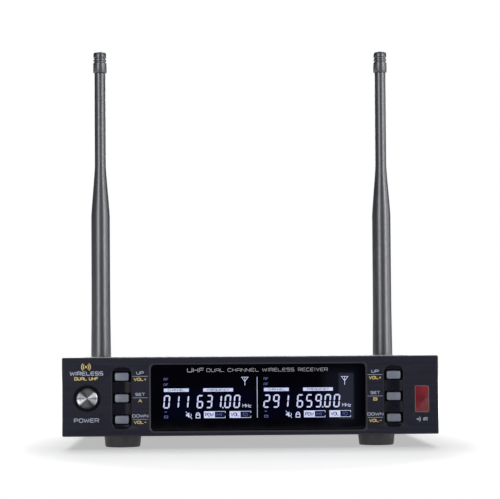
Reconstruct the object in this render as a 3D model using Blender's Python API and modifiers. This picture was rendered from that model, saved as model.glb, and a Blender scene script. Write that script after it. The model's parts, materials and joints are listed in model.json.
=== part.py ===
"""Half-rack wireless receiver unit: a steel case behind a brushed front panel, with two jointed antennas.

Metres, +Z up, X to the right, Y from the front panel to the back. The unit stands on its feet at Z = 0,
and its whole box is centred on X = 0 and Y = 0. Channel a is on the left and channel b on the right.
"""

import math

import bmesh
import bpy
from mathutils import Matrix, Vector

# Driving dimensions, in metres.
PANEL_WIDTH = 0.212
PANEL_HEIGHT = 0.0443
PANEL_THICKNESS = 0.004
CASE_DEPTH = 0.166
SHEET = 0.001
GAP = 0.0003
FOOT_RADIUS = 0.0107
POWER_PROUD = 0.0016
JACK_SPREAD = 0.0955
JACK_HEIGHT = 0.030
PIVOT_DEPTH = 0.191
BARREL_FLARE_RADIUS = 0.00672
SMOOTH_ANGLE = math.radians(35)

# Sides of a turned piece: large, ordinary and small.
FINE = 24
ROUND = 16
SMALL = 10
BEND_STEPS = 3

# Heights.
PANEL_BOTTOM = 0.00685
PANEL_TOP = PANEL_BOTTOM + PANEL_HEIGHT
CASE_BOTTOM = PANEL_BOTTOM + 0.00075
CASE_TOP = PANEL_TOP - 0.0007
FOOT_HEIGHT = CASE_BOTTOM - GAP
FLOOR_TOP = CASE_BOTTOM + SHEET
CONTROL_HEIGHT = PANEL_BOTTOM + PANEL_HEIGHT / 2 - 0.00075
ANTENNA_TOP = 0.2574
CAP_BOTTOM = ANTENNA_TOP - 0.0143
SLEEVE_TOP = CAP_BOTTOM + 0.0055

# Depths run back from the face of the front panel, which FRONT_Y puts in place.
FRONT_Y = POWER_PROUD - (PIVOT_DEPTH + BARREL_FLARE_RADIUS + POWER_PROUD) / 2
WINDOW_RECESS = 0.0006
LCD_FRONT = 0.0059
LCD_BACK = 0.0083
BACKLIGHT_BACK = 0.0126
BOARD_FRONT = 0.0130
BOARD_BACK = BOARD_FRONT + 0.0016

# Half widths of the case.
COVER_HALF = PANEL_WIDTH / 2 - 0.001
CHASSIS_HALF = COVER_HALF - SHEET - GAP

# Openings of the front panel: centre x, centre z, width, height, corner radius.
WINDOW = (0.0043, CONTROL_HEIGHT, 0.1211, 0.0373, 0.0023)
KEYPADS = {
    "a": (-0.0725, CONTROL_HEIGHT, 0.0109, 0.0347, 0.0032),
    "b": (0.0807, CONTROL_HEIGHT, 0.0109, 0.0347, 0.0032),
}
IR_OPENING = (0.0966, CONTROL_HEIGHT - 0.0016, 0.0086, 0.0156, 0.0009)
POWER_X = -0.0919
POWER_RADIUS = 0.00725
BUTTONS = {"up": 0.01205, "set": 0.0, "down": -0.01205}
BUTTON_WIDTH = 0.0076
BUTTON_HEIGHT = 0.0044

# Rear connectors, by their x.
XLR_X = {"a": -0.034, "b": 0.034}
MIX_X = 0.0
DC_X = 0.066
CONNECTOR_HEIGHT = 0.029

SIDES = {"a": -1, "b": 1}
FEET = {
    "front_left": (-0.0730, 0.0210),
    "front_right": (0.0728, 0.0210),
    "rear_left": (-0.0730, 0.1495),
    "rear_right": (0.0730, 0.1495),
}
COVER_SCREWS = {
    "front_left": (-1, 0.040),
    "front_right": (1, 0.040),
    "rear_left": (-1, 0.130),
    "rear_right": (1, 0.130),
}
COVER_SCREW_HEIGHT = 0.0145


def clear_scene():
    for item in list(bpy.data.objects):
        bpy.data.objects.remove(item, do_unlink=True)


def new_collection(name):
    group = bpy.data.collections.new(name)
    bpy.context.scene.collection.children.link(group)
    return group


def new_material(name, colour, roughness, metallic):
    paint = bpy.data.materials.new(name)
    paint.use_nodes = True
    shader = paint.node_tree.nodes["Principled BSDF"]
    shader.inputs["Base Color"].default_value = (*colour, 1.0)
    shader.inputs["Roughness"].default_value = roughness
    shader.inputs["Metallic"].default_value = metallic
    paint.diffuse_color = (*colour, 1.0)
    return paint


def at_depth(depth):
    """World y of a point this far behind the front panel's face."""
    return FRONT_Y + depth


clear_scene()
PARTS = new_collection("wireless_receiver_unit")
CUTTERS = new_collection("cutters")
FINISH = {
    "panel": new_material("brushed_panel", (0.030, 0.030, 0.038), 0.42, 0.8),
    "window": new_material("smoked_window", (0.004, 0.004, 0.006), 0.06, 0.0),
    "black": new_material("black_plastic", (0.012, 0.012, 0.014), 0.5, 0.0),
    "button": new_material("grey_button", (0.17, 0.19, 0.24), 0.5, 0.0),
    "spun": new_material("spun_aluminium", (0.75, 0.75, 0.77), 0.28, 1.0),
    "red": new_material("infrared_filter", (0.16, 0.012, 0.014), 0.15, 0.0),
    "steel": new_material("painted_steel", (0.022, 0.022, 0.025), 0.55, 0.0),
    "rubber": new_material("foot_rubber", (0.035, 0.035, 0.038), 0.8, 0.0),
    "antenna": new_material("antenna_plastic", (0.11, 0.11, 0.115), 0.38, 0.0),
    "screw": new_material("black_screw", (0.05, 0.05, 0.052), 0.35, 1.0),
    "nickel": new_material("nickel_plate", (0.62, 0.60, 0.57), 0.22, 1.0),
    "brass": new_material("radiator_brass", (0.55, 0.36, 0.13), 0.35, 1.0),
    "board": new_material("circuit_board", (0.012, 0.11, 0.045), 0.45, 0.0),
    "shield": new_material("tinned_shield", (0.55, 0.56, 0.57), 0.3, 1.0),
    "lcd": new_material("lcd_glass", (0.01, 0.012, 0.03), 0.1, 0.0),
    "diffuser": new_material("backlight_diffuser", (0.8, 0.82, 0.85), 0.5, 0.0),
    "lead": new_material("cable_sheath", (0.02, 0.02, 0.02), 0.5, 0.0),
}


def place(item, finish):
    """Puts an object with the parts in its finish, or with the cutters if it has none."""
    if finish is None:
        CUTTERS.objects.link(item)
        item.hide_render = True
        item.display_type = "WIRE"
    else:
        PARTS.objects.link(item)
        item.data.materials.clear()
        item.data.materials.append(FINISH[finish])
    return item


def mesh_object(name, shape, finish, origin=(0, 0, 0)):
    mesh = bpy.data.meshes.new(name)
    shape.to_mesh(mesh)
    shape.free()
    mesh.shade_smooth()
    mesh.set_sharp_from_angle(angle=SMOOTH_ANGLE)
    item = bpy.data.objects.new(name, mesh)
    item.location = origin
    return place(item, finish)


def soften(item, width, segments=1):
    bevel = item.modifiers.new("soft_edges", "BEVEL")
    bevel.width = width
    bevel.segments = segments
    bevel.limit_method = "ANGLE"
    bevel.angle_limit = math.radians(40)


def block(name, low, high, finish=None, radius=0.0, along="Y", flare=0.0, segments=3):
    """A box between two corners. Its four edges along one axis can be rounded, and its front flared."""
    size = Vector(high) - Vector(low)
    centre = (Vector(high) + Vector(low)) / 2
    shape = bmesh.new()
    bmesh.ops.create_cube(shape, size=1.0, matrix=Matrix.Diagonal((*size, 1.0)))
    axis = "XYZ".index(along)
    if radius:
        edges = [edge for edge in shape.edges if abs(edge.verts[0].co[axis] - edge.verts[1].co[axis]) > 1e-6]
        bmesh.ops.bevel(shape, geom=edges, offset=radius, segments=segments, affect="EDGES", profile=0.5)
    if flare:
        for corner in (vert for vert in shape.verts if vert.co.y < 0):
            corner.co.x += math.copysign(flare, corner.co.x)
            corner.co.z += math.copysign(flare, corner.co.z)
    return mesh_object(name, shape, finish, centre)


def turned(name, profile, origin, finish=None, axis="Y", steps=ROUND):
    """A profile of (radius, distance along the axis) points, turned about that axis through origin.

    The profile runs down the outer side. A profile that ends where it starts is a ring. The distances
    run up for axis Z, back for axis Y and to the right for axis X.
    """
    outline = bmesh.new()
    closed = profile[0] == profile[-1]
    points = profile[:-1] if closed else profile
    corners = [outline.verts.new((radius, 0, along)) for radius, along in points]
    for first, second in zip(corners, corners[1:]):
        outline.edges.new((first, second))
    if closed:
        outline.edges.new((corners[-1], corners[0]))
    mesh = bpy.data.meshes.new(name)
    outline.to_mesh(mesh)
    outline.free()
    guide = bpy.data.objects.new(name + "_profile", mesh)
    CUTTERS.objects.link(guide)
    screw = guide.modifiers.new("turn", "SCREW")
    screw.steps = steps
    screw.render_steps = steps
    screw.use_merge_vertices = True
    screw.merge_threshold = 0.00005
    screw.use_smooth_shade = True
    graph = bpy.context.evaluated_depsgraph_get()
    solid = bpy.data.meshes.new_from_object(guide.evaluated_get(graph))
    bpy.data.objects.remove(guide)
    bpy.data.meshes.remove(mesh)
    solid.name = name
    tilt = {"Z": Matrix(), "Y": Matrix.Rotation(-math.pi / 2, 4, "X"), "X": Matrix.Rotation(math.pi / 2, 4, "Y")}
    solid.transform(tilt[axis])
    solid.shade_smooth()
    solid.set_sharp_from_angle(angle=SMOOTH_ANGLE)
    item = bpy.data.objects.new(name, solid)
    item.location = origin
    return place(item, finish)


def rod(name, radius, start, length, finish=None, axis="Y", steps=ROUND):
    """A cylinder that runs this far from its start along an axis."""
    return turned(name, [(0, length), (radius, length), (radius, 0), (0, 0)], start, finish, axis, steps)


def prism(name, across_flats, sides, start, length, finish=None):
    """A nut's outer shape: a prism along Y with this many sides."""
    shape = bmesh.new()
    radius = across_flats / 2 / math.cos(math.pi / sides)
    turn = Matrix.Rotation(math.pi / 2, 4, "X")
    bmesh.ops.create_cone(
        shape, cap_ends=True, segments=sides, radius1=radius, radius2=radius, depth=length, matrix=turn
    )
    x, y, z = start
    return mesh_object(name, shape, finish, (x, y + length / 2, z))


def combine(item, operation, *tools):
    for tool in tools:
        boolean = item.modifiers.new(operation.lower() + "_" + tool.name, "BOOLEAN")
        boolean.operation = operation
        boolean.object = tool
    return item


def cut(item, *tools):
    return combine(item, "DIFFERENCE", *tools)


def join(item, *tools):
    return combine(item, "UNION", *tools)


def folded_sheet(name, corners, start, end, bend, finish):
    """A sheet bent round these (x, z) corners, from one y to another, its thickness on the inner side."""
    outline = [Vector(corners[0])]
    for before, corner, after in zip(corners, corners[1:], corners[2:]):
        into = (Vector(corner) - Vector(before)).normalized()
        out = (Vector(after) - Vector(corner)).normalized()
        centre = Vector(corner) - into * bend + out * bend
        for step in range(BEND_STEPS + 1):
            turn = math.pi / 2 * step / BEND_STEPS
            outline.append(centre - out * bend * math.cos(turn) + into * bend * math.sin(turn))
    outline.append(Vector(corners[-1]))
    shape = bmesh.new()
    rows = [[shape.verts.new((x, y, z)) for x, z in outline] for y in (start, end)]
    for index in range(len(outline) - 1):
        shape.faces.new((rows[0][index], rows[0][index + 1], rows[1][index + 1], rows[1][index]))
    item = mesh_object(name, shape, finish)
    solid = item.modifiers.new("thickness", "SOLIDIFY")
    solid.thickness = SHEET
    solid.offset = 1
    return item


def panel_cutter(name, opening, depth_from, depth_to, extra=0.0, flare=0.0):
    """A rounded block through an opening of the front panel."""
    x, z, width, height, radius = opening
    half_width = width / 2 + extra
    half_height = height / 2 + extra
    low = (x - half_width, at_depth(depth_from), z - half_height)
    high = (x + half_width, at_depth(depth_to), z + half_height)
    return block(name, low, high, None, radius + extra, "Y", flare)


def fitted_block(name, opening, depth_from, depth_to, finish=None, inset=GAP):
    """A rounded block that fills an opening of the front panel with a gap all round."""
    x, z, width, height, radius = opening
    low = (x - width / 2 + inset, at_depth(depth_from), z - height / 2 + inset)
    high = (x + width / 2 - inset, at_depth(depth_to), z + height / 2 - inset)
    return block(name, low, high, finish, max(radius - inset, 0.0002))


def make_front_panel():
    half = PANEL_WIDTH / 2
    low = (-half, at_depth(0), PANEL_BOTTOM)
    high = (half, at_depth(PANEL_THICKNESS), PANEL_TOP)
    panel = block("front_panel", low, high, "panel")
    soften(panel, 0.0006)
    openings = {"window": (WINDOW, 0.0009), "ir": (IR_OPENING, 0.0002)}
    openings.update({"keypad_" + side: (KEYPADS[side], 0.0002) for side in SIDES})
    for name, (opening, chamfer) in openings.items():
        through = panel_cutter(name + "_through", opening, -0.002, PANEL_THICKNESS + 0.002)
        bevelled = panel_cutter(name + "_chamfer", opening, -chamfer, chamfer, 0.0, 2 * chamfer)
        cut(panel, through, bevelled)
    bore_start = (POWER_X, at_depth(-0.002), CONTROL_HEIGHT)
    cut(panel, rod("power_bore", POWER_RADIUS + GAP, bore_start, 0.01, None, "Y", FINE))


def make_display():
    window = fitted_block("display_window", WINDOW, WINDOW_RECESS, 0.0045, "window")
    soften(window, 0.0002)
    flange = fitted_block("window_flange", WINDOW, 0.0043, 0.0053, None, -0.0006)
    join(window, flange)
    x, z = WINDOW[:2]
    for name, front, back, finish in (
        ("lcd_panel", LCD_FRONT, LCD_BACK, "lcd"),
        ("lcd_backlight", LCD_BACK + GAP, BACKLIGHT_BACK, "diffuser"),
    ):
        low = (x - 0.058, at_depth(front), z - 0.0166)
        high = (x + 0.058, at_depth(back), z + 0.0166)
        block(name, low, high, finish)


def make_keypad(side):
    """The tray in a keypad slot: a rim that slopes in to two bars, and a deeper well across each button."""
    x, z, width, height, radius = KEYPADS[side]
    bezel = fitted_block("keypad_bezel_" + side, KEYPADS[side], 0.0001, 0.0045, "black")
    rim = 0.0012
    tray = (x, z, width - 2 * rim, height - 2 * rim, radius - rim)
    cut(bezel, panel_cutter("tray_" + side, tray, -0.0003, 0.0007, 0.0, 0.0013))
    for name, offset in BUTTONS.items():
        middle = z + offset
        low = (x - width / 2, at_depth(-0.001), middle - BUTTON_HEIGHT / 2 - 0.0006)
        high = (x + width / 2, at_depth(0.0030), middle + BUTTON_HEIGHT / 2 + 0.0009)
        well = block(f"well_{name}_{side}", low, high)
        hole = (x, middle, BUTTON_WIDTH + 2 * GAP, BUTTON_HEIGHT + 2 * GAP, 0.0010)
        cut(bezel, well, panel_cutter(f"hole_{name}_{side}", hole, 0.002, 0.006))
        make_button(name, side, x, middle)


def make_button(name, side, x, z):
    """A cap that slides in its bezel, with a flange that keeps it in and a stem to its switch."""
    cap_shape = (x, z, BUTTON_WIDTH, BUTTON_HEIGHT, 0.0008)
    cap = fitted_block(f"button_{name}_{side}", cap_shape, -0.0002, 0.0050, "button", 0.0)
    soften(cap, 0.0004, 2)
    flange_shape = (x, z, BUTTON_WIDTH + 0.0016, BUTTON_HEIGHT + 0.0016, 0.0008)
    flange = fitted_block(f"flange_{name}_{side}", flange_shape, 0.0048, 0.0056, None, 0.0)
    stem = rod(f"stem_{name}_{side}", 0.0015, (x, at_depth(0.0050), z), 0.0032, None, "Y", SMALL)
    join(cap, flange, stem)


def make_power_button():
    centre = (POWER_X, at_depth(0), CONTROL_HEIGHT)
    outer = POWER_RADIUS
    ring = [(outer, 0.005), (outer, -0.0005), (outer - 0.0004, -0.0009), (0.0065, -0.0009), (0.0061, -0.0005)]
    ring += [(0.0061, 0.005), (outer, 0.005)]
    turned("power_bezel", ring, centre, "black", "Y", FINE)
    face = -POWER_PROUD
    button = [(0, 0.0095), (0.0018, 0.0095), (0.0018, 0.0048), (0.0052, 0.0048), (0.0058, 0.0042)]
    button += [(0.0058, face + 0.0004), (0.0054, face), (0.0051, face), (0.0049, face + 0.0003)]
    button += [(0, face + 0.0003)]
    turned("power_button", button, centre, "spun", "Y", FINE)
    low = (POWER_X - 0.004, at_depth(0.0080), CONTROL_HEIGHT - 0.004)
    high = (POWER_X + 0.004, at_depth(BOARD_FRONT - GAP), CONTROL_HEIGHT + 0.004)
    switch = block("power_switch", low, high, "black")
    bore_start = (POWER_X, at_depth(0.0070), CONTROL_HEIGHT)
    cut(switch, rod("plunger_bore", 0.0023, bore_start, 0.0053, None, "Y", SMALL))


def make_ir_window():
    lens = fitted_block("ir_window", IR_OPENING, -0.0001, 0.0045, "red")
    soften(lens, 0.0004, 2)
    join(lens, fitted_block("ir_flange", IR_OPENING, 0.0043, 0.0053, None, -0.0008))


def make_control_board():
    """The board behind the front panel, with a switch under each button and the infrared receiver."""
    low = (-0.1005, at_depth(BOARD_FRONT), 0.0105)
    high = (0.1005, at_depth(BOARD_BACK), 0.0475)
    board = block("control_board", low, high, "board")
    for side in SIDES:
        x, z = KEYPADS[side][:2]
        for name, offset in BUTTONS.items():
            low = (x - 0.003, at_depth(0.0102), z + offset - 0.003)
            high = (x + 0.003, at_depth(BOARD_FRONT + 0.0004), z + offset + 0.003)
            body = block(f"tact_{name}_{side}", low, high)
            start = (x, at_depth(0.0090), z + offset)
            join(board, body, rod(f"plunger_{name}_{side}", 0.0015, start, 0.002, None, "Y", SMALL))
    x, z = IR_OPENING[:2]
    low = (x - 0.0028, at_depth(0.0070), z - 0.0035)
    high = (x + 0.0028, at_depth(BOARD_FRONT + 0.0004), z + 0.0035)
    join(board, block("ir_receiver", low, high))


def make_bottom_chassis():
    """The floor of the case, with a flange up each side and four posts for the main board."""
    half = CHASSIS_HALF
    corners = [(-half, 0.0215), (-half, CASE_BOTTOM), (half, CASE_BOTTOM), (half, 0.0215)]
    start = at_depth(PANEL_THICKNESS + GAP)
    end = at_depth(CASE_DEPTH)
    chassis = folded_sheet("bottom_chassis", corners, start, end, 0.0014, "steel")
    for x in (-0.090, 0.090):
        for depth in (0.030, 0.140):
            foot = (x, at_depth(depth), CASE_BOTTOM + SHEET / 2)
            join(chassis, rod(f"post_{x:.3f}_{depth:.3f}", 0.003, foot, 0.0061, None, "Z", SMALL))
    for name, (x, depth) in FEET.items():
        below = (x, at_depth(depth), CASE_BOTTOM - 0.001)
        cut(chassis, rod("floor_hole_" + name, 0.0018, below, 0.003, None, "Z", SMALL))
    for name, (sign, depth) in COVER_SCREWS.items():
        cut(chassis, side_hole("flange_hole_" + name, sign, depth))


def side_hole(name, sign, depth):
    start = (sign * COVER_HALF - 0.005, at_depth(depth), COVER_SCREW_HEIGHT)
    return rod(name, 0.0018, start, 0.010, None, "X", SMALL)


def turned_outward(name, profile, sign, depth, finish=None):
    """A screw or a countersink in a side of the case: its profile's distances run out from the cover."""
    if sign < 0:
        profile = [(radius, -along) for radius, along in reversed(profile)]
    centre = (sign * COVER_HALF, at_depth(depth), COVER_SCREW_HEIGHT)
    return turned(name, profile, centre, finish, "X", ROUND)


def countersink(name, sign, depth):
    profile = [(0, 0.001), (0.0041, 0.001), (0.0031, 0), (0.0021, -0.001), (0, -0.001)]
    return turned_outward(name, profile, sign, depth)


def make_top_cover():
    """The top and sides of the case in one bent sheet, with cooling slots in each side."""
    half = COVER_HALF
    corners = [(half, CASE_BOTTOM), (half, CASE_TOP), (-half, CASE_TOP), (-half, CASE_BOTTOM)]
    start = at_depth(PANEL_THICKNESS + GAP)
    cover = folded_sheet("top_cover", corners, start, at_depth(CASE_DEPTH), 0.0014, "steel")
    for name, (sign, depth) in COVER_SCREWS.items():
        hole = side_hole("cover_hole_" + name, sign, depth)
        cut(cover, hole, countersink("countersink_" + name, sign, depth))
    for index in range(6):
        y = at_depth(0.066 + 0.0075 * index)
        low = (-half - 0.002, y, 0.026)
        high = (half + 0.002, y + 0.0022, 0.042)
        cut(cover, block(f"cooling_slot_{index}", low, high, None, 0.0010, "X", 0.0, 2))


def make_rear_panel():
    """The back plate, with a foot along its lower edge and a hole for each connector."""
    half = CHASSIS_HALF - SHEET - GAP
    back = at_depth(CASE_DEPTH)
    floor = FLOOR_TOP + GAP
    top = CASE_TOP - SHEET - GAP
    plate = block("rear_panel", (-half, back - 0.0012, floor), (half, back, top), "steel")
    low = (-half + 0.002, back - 0.010, floor)
    high = (half - 0.002, back - 0.0006, floor + SHEET)
    join(plate, block("rear_foot", low, high))
    through = back - 0.004
    for side, x in XLR_X.items():
        cut(plate, rod("xlr_hole_" + side, 0.0120, (x, through, CONNECTOR_HEIGHT), 0.008, None, "Y", FINE))
    for side, sign in SIDES.items():
        cut(plate, rod("bnc_hole_" + side, 0.0050, (sign * JACK_SPREAD, through, JACK_HEIGHT), 0.008))
    cut(plate, rod("mix_hole", 0.0049, (MIX_X, through, CONNECTOR_HEIGHT), 0.008))
    cut(plate, rod("dc_hole", 0.0044, (DC_X, through, CONNECTOR_HEIGHT), 0.008))


def make_feet():
    """Round tapered rubber feet, each held by a pan-head screw in a recess under it."""
    for name, (x, depth) in FEET.items():
        top = FOOT_HEIGHT
        outer = FOOT_RADIUS
        profile = [(0.0018, top), (outer, top), (outer - 0.0007, 0.0005), (outer - 0.0011, 0.0)]
        profile += [(0.0045, 0.0), (0.0042, 0.0030), (0.0018, 0.0030), (0.0018, top)]
        turned("foot_" + name, profile, (x, at_depth(depth), 0), "rubber", "Z", FINE)
        screw = [(0, 0.0027), (0.0028, 0.0027), (0.0028, 0.0014), (0.0018, 0.0008), (0, 0.0008)]
        shank = [(0, 0.0125), (0.0015, 0.0125), (0.0015, 0.0027)]
        item = turned("foot_screw_" + name, shank + screw[1:], (x, at_depth(depth), 0), "screw", "Z", SMALL)
        cut_cross(item, (x, at_depth(depth), 0.0008), "Z")


def cut_cross(item, centre, axis):
    """A cross recess in a screw head that faces along an axis."""
    reach = Vector((0.0014, 0.0014, 0.0014))
    slim = 0.0003
    flat = "XYZ".index(axis)
    for turn in (1, 2):
        half = reach.copy()
        half[(flat + turn) % 3] = slim
        half[flat] = 0.0008
        low = Vector(centre) - half
        high = Vector(centre) + half
        cut(item, block(f"{item.name}_cross_{turn}", low, high))


def make_cover_screws():
    """Flush countersunk screws through the sides of the cover into the chassis flanges."""
    for name, (sign, depth) in COVER_SCREWS.items():
        top = -0.0001
        profile = [(0, top), (0.0027, top), (0.0015, -0.0013), (0.0015, -0.006), (0, -0.006)]
        item = turned_outward("cover_screw_" + name, profile, sign, depth, "screw")
        cut_cross(item, (sign * (COVER_HALF + top), at_depth(depth), COVER_SCREW_HEIGHT), "X")


def make_main_board():
    """The main board on the chassis posts, with a screening can over each tuner."""
    low = (-0.0975, at_depth(0.022), 0.0145)
    high = (0.0975, at_depth(0.147), 0.0161)
    block("main_board", low, high, "board")
    for side, sign in SIDES.items():
        middle = sign * 0.060
        low = Vector((middle - 0.025, at_depth(0.062), 0.0164))
        high = Vector((middle + 0.025, at_depth(0.102), 0.0284))
        can = block("rf_shield_" + side, low, high, "shield", 0.001, "Z", 0.0, 2)
        wall = Vector((0.0005, 0.0005, 0.0))
        below = low + wall - Vector((0, 0, 0.001))
        cut(can, block("rf_hollow_" + side, below, high - wall - Vector((0, 0, 0.0005))))


def smooth_route(points, pieces):
    """Points along a smooth curve through the given ones."""
    route = [points[0]] + list(points) + [points[-1]]
    smooth = []
    for before, start, end, after in zip(route, route[1:], route[2:], route[3:]):
        for step in range(pieces):
            t = step / pieces
            weights = (
                -0.5 * t + t * t - 0.5 * t**3,
                1 - 2.5 * t * t + 1.5 * t**3,
                0.5 * t + 2 * t * t - 1.5 * t**3,
                -0.5 * t * t + 0.5 * t**3,
            )
            corners = (before, start, end, after)
            smooth.append(sum((Vector(c) * w for c, w in zip(corners, weights)), Vector()))
    return smooth + [Vector(points[-1])]


def make_coax_leads():
    """The lead from each antenna jack to its tuner's can."""
    for side, sign in SIDES.items():
        x = sign * JACK_SPREAD
        end = sign * 0.078
        route = [
            (x, at_depth(0.1565), JACK_HEIGHT),
            (x, at_depth(0.1500), JACK_HEIGHT),
            (sign * 0.093, at_depth(0.138), 0.029),
            (end, at_depth(0.122), 0.024),
            (end, at_depth(0.110), 0.0225),
            (end, at_depth(0.1025), 0.0225),
        ]
        line = bpy.data.curves.new("coax_lead_" + side, "CURVE")
        line.dimensions = "3D"
        line.bevel_depth = 0.0012
        line.bevel_resolution = 2
        line.use_fill_caps = True
        points = smooth_route(route, 4)
        spline = line.splines.new("POLY")
        spline.points.add(len(points) - 1)
        for knot, point in zip(spline.points, points):
            knot.co = (*point, 1.0)
        place(bpy.data.objects.new("coax_lead_" + side, line), "lead")


def make_ribbon_cable():
    """The flat cable that drops from the control board to the main board."""
    route = [(0.0149, 0.0330), (0.0175, 0.0330), (0.0200, 0.0310), (0.0235, 0.0230)]
    route += [(0.0262, 0.0185), (0.0300, 0.0168)]
    points = smooth_route([(0, at_depth(depth), z) for depth, z in route], 3)
    shape = bmesh.new()
    rows = [[shape.verts.new((x, p.y, p.z)) for p in points] for x in (-0.010, 0.010)]
    for index in range(len(points) - 1):
        shape.faces.new((rows[0][index], rows[1][index], rows[1][index + 1], rows[0][index + 1]))
    ribbon = mesh_object("ribbon_cable", shape, "lead")
    solid = ribbon.modifiers.new("thickness", "SOLIDIFY")
    solid.thickness = 0.0005
    solid.offset = 0


def make_xlr_output(side):
    """A balanced output: a flange outside the rear panel, a cup with three pins, and its body inside."""
    x = XLR_X[side]
    back = at_depth(CASE_DEPTH)
    low = (x - 0.013, back + GAP, CONNECTOR_HEIGHT - 0.0155)
    high = (x + 0.013, back + 0.0023, CONNECTOR_HEIGHT + 0.0155)
    output = block("xlr_output_" + side, low, high, "nickel", 0.0030)
    soften(output, 0.0004)
    body = rod("xlr_body_" + side, 0.0115, (x, back - 0.016, CONNECTOR_HEIGHT), 0.0175, None, "Y", FINE)
    cup = rod("xlr_cup_" + side, 0.0079, (x, back - 0.012, CONNECTOR_HEIGHT), 0.020, None, "Y", FINE)
    cut(join(output, body), cup)
    for index, angle in enumerate((30, 150, 270)):
        turn = math.radians(angle)
        start = (x + 0.0043 * math.cos(turn), back - 0.013, CONNECTOR_HEIGHT + 0.0043 * math.sin(turn))
        join(output, rod(f"xlr_pin_{index}_{side}", 0.0012, start, 0.0125, None, "Y", SMALL))
    for corner in (-1, 1):
        centre = (x + corner * 0.0095, back - 0.004, CONNECTOR_HEIGHT - corner * 0.0120)
        cut(output, rod(f"xlr_screw_hole_{corner}_{side}", 0.0016, centre, 0.008, None, "Y", SMALL))


def make_mix_jack():
    """The mixed output: a 6.35 mm socket whose threaded nose takes a nut outside the rear panel."""
    back = at_depth(CASE_DEPTH)
    low = (MIX_X - 0.008, back - 0.024, CONNECTOR_HEIGHT - 0.008)
    high = (MIX_X + 0.008, back - 0.0015, CONNECTOR_HEIGHT + 0.008)
    jack = block("mix_jack", low, high, "black")
    nose = rod("mix_nose", 0.0046, (MIX_X, back - 0.003, CONNECTOR_HEIGHT), 0.0085)
    bore = rod("mix_bore", 0.0034, (MIX_X, back - 0.022, CONNECTOR_HEIGHT), 0.032)
    cut(join(jack, nose), bore)
    nut = prism("mix_jack_nut", 0.0125, 6, (MIX_X, back + GAP, CONNECTOR_HEIGHT), 0.0025, "nickel")
    soften(nut, 0.0004)
    cut(nut, rod("mix_nut_bore", 0.0049, (MIX_X, back - 0.004, CONNECTOR_HEIGHT), 0.012))


def make_dc_inlet():
    """The supply inlet: a round nose with a centre pin in its bore."""
    back = at_depth(CASE_DEPTH)
    low = (DC_X - 0.0045, back - 0.013, CONNECTOR_HEIGHT - 0.0055)
    high = (DC_X + 0.0045, back - 0.0015, CONNECTOR_HEIGHT + 0.0055)
    inlet = block("dc_inlet", low, high, "black")
    nose = rod("dc_nose", 0.0041, (DC_X, back - 0.003, CONNECTOR_HEIGHT), 0.0042)
    bore = rod("dc_bore", 0.0031, (DC_X, back - 0.010, CONNECTOR_HEIGHT), 0.020)
    pin = rod("dc_pin", 0.0010, (DC_X, back - 0.011, CONNECTOR_HEIGHT), 0.011, None, "Y", SMALL)
    join(cut(join(inlet, nose), bore), pin)


def make_antenna_jack(side):
    """The socket that the antenna plugs into, and the nut that holds it in the rear panel."""
    origin = (SIDES[side] * JACK_SPREAD, at_depth(CASE_DEPTH), JACK_HEIGHT)
    jack = [(0, 0.0030), (0.0041, 0.0030), (0.0041, 0.0120), (0.0048, 0.0120), (0.0048, -0.0015)]
    jack += [(0.0064, -0.0015), (0.0064, -0.0035), (0.0030, -0.0035), (0.0030, -0.0090), (0, -0.0090)]
    turned("bnc_jack_" + side, jack, origin, "nickel")
    x, y, z = origin
    nut = prism("bnc_nut_" + side, 0.0130, 6, (x, y + GAP, z), 0.0022, "nickel")
    soften(nut, 0.0004)
    cut(nut, rod("bnc_nut_bore_" + side, 0.0051, (x, y - 0.002, z), 0.008))


def new_joint(name, origin, parent=None):
    """An empty on a joint's axis, which the moving pieces hang from."""
    pivot = bpy.data.objects.new(name, None)
    pivot.empty_display_size = 0.01
    PARTS.objects.link(pivot)
    pivot.location = Vector(origin) - (parent.location if parent else Vector())
    pivot.parent = parent
    return pivot


def hang(item, pivot, pivot_origin):
    item.parent = pivot
    item.location = item.location - Vector(pivot_origin)
    return item


def make_antenna(side):
    """A jointed antenna: a plug that swivels in its jack, and a sleeve that folds back on a pin."""
    x = SIDES[side] * JACK_SPREAD
    jack = (x, at_depth(CASE_DEPTH), JACK_HEIGHT)
    pivot = (x, at_depth(PIVOT_DEPTH), JACK_HEIGHT)
    swivel = new_joint("swivel_axis_" + side, jack)
    tilt = new_joint("tilt_axis_" + side, pivot, swivel)
    make_coupling_ring(side, jack)
    hang(make_plug(side, jack, pivot), swivel, jack)
    hang(make_hinge_pin(side, pivot), swivel, jack)
    hang(make_sleeve(side, pivot), tilt, pivot)
    hang(make_radiator(side, pivot), tilt, pivot)
    hang(make_tip_cap(side, pivot), tilt, pivot)


def make_coupling_ring(side, jack):
    """The bayonet ring round the jack's shell, waisted in the middle, with grip grooves."""
    profile = [(0.0051, 0.0030), (0.0070, 0.0030), (0.0072, 0.0034), (0.0072, 0.0060), (0.0068, 0.0064)]
    profile += [(0.0068, 0.0080), (0.0072, 0.0084), (0.0072, 0.0144), (0.0069, 0.0150), (0.0042, 0.0150)]
    profile += [(0.0042, 0.0135), (0.0051, 0.0135)]
    profile.reverse()
    turned("coupling_ring_" + side, profile + profile[:1], jack, "nickel", "Y", ROUND)


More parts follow.
